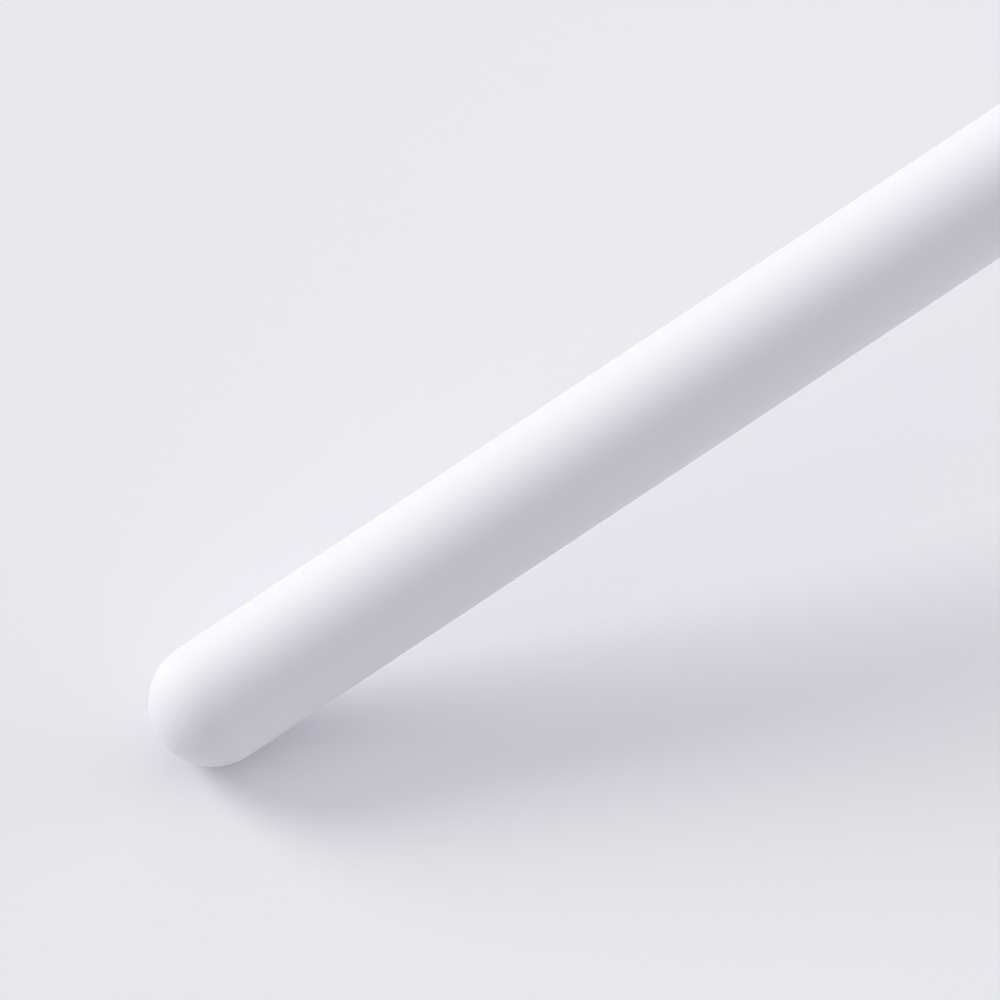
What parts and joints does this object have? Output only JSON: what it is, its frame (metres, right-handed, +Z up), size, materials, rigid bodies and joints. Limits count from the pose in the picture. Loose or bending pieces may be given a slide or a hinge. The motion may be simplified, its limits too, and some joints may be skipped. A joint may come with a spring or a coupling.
{
  "type": "drawing stylus",
  "caption": "Slim round white drawing stylus with a seamless domed tail, a flat along its underside, a tapered nose and a screw-on nib that senses pressure.",
  "frame": {"origin": "middle of the pen's length and width, on the plane of its resting flat", "axes": "+X along the pen from the domed tail to the nib, +Z up from the resting flat"},
  "size_m": [0.166, 0.0088, 0.0086],
  "materials": {
    "casing_white": "satin, fine moulded texture",
    "nib_white": "smooth matte",
    "bearing_plastic": "smooth",
    "washer_plastic": "waxy",
    "steel": "turned",
    "spring_steel": "drawn wire",
    "brass": "turned",
    "nickel": "nickel plated",
    "copper_wire": "enamelled winding",
    "ferrite": "sintered, matte",
    "chassis_alloy": "bead blasted",
    "board_laminate": "solder mask",
    "chip_resin": "moulded resin",
    "capacitor_ceramic": "fired",
    "socket_plastic": "moulded",
    "polyimide": "clear amber film",
    "cell_can": "drawn can",
    "sleeve_film": "shrink film",
    "silicone": "soft matte",
    "seal_rubber": "soft matte"
  },
  "bodies": {
    "casing": {"barrel": "casing_white", "nose_cone": "casing_white", "nose_seal": "seal_rubber", "tilt_electrode": "brass", "sensor_housing": "steel", "stud_guide": "bearing_plastic", "return_spring": "spring_steel", "force_sensor": "steel", "sensor_retainer": "brass", "chassis": "chassis_alloy", "main_board": "board_laminate", "chassis_screws": "steel", "cable_sockets": "socket_plastic", "radio_chip": "chip_resin", "motion_sensor": "chip_resin", "processor": "chip_resin", "charging_chip": "chip_resin", "touch_chip": "chip_resin", "power_inductor": "ferrite", "radio_shield": "nickel", "capacitors": "capacitor_ceramic", "rear_magnets": "nickel", "front_magnets": "nickel", "magnet_keepers": "steel", "ferrite_core": "ferrite", "charging_coil": "copper_wire", "touch_film": "polyimide", "antenna_film": "polyimide", "sensor_cable": "polyimide", "battery_cable": "polyimide", "tail_cushion": "silicone", "battery_cell": "cell_can", "battery_sleeve": "sleeve_film", "battery_board": "board_laminate", "battery_tabs": "nickel"},
    "nib_stud": {"nib_stud": "steel"},
    "nib_washer": {"nib_washer": "washer_plastic"},
    "nib": {"nib": "nib_white", "nib_insert": "brass"}
  },
  "joints": [
    {"name": "nib_press", "type": "slide", "parent": "casing", "child": "nib_stud", "axis": [-1, 0, 0], "range_m": [0, 0.0003], "stiffness_N_per_m": 4000, "springref_m": -0.0001, "deforming": ["return_spring"]},
    {"name": "nib_advance", "type": "slide", "parent": "nib_stud", "child": "nib_washer", "axis": [1, 0, 0], "range_m": [0, 0.003]},
    {"name": "nib_unscrew", "type": "hinge", "parent": "nib_washer", "child": "nib", "pos_m": [0.0775, 0, 0.00415], "axis": [1, 0, 0], "range_deg": [0, 2700]}
  ],
  "couplings": [
    {"joint": "nib_unscrew", "follows": "nib_advance", "rad_per_m": 15708}
  ]
}
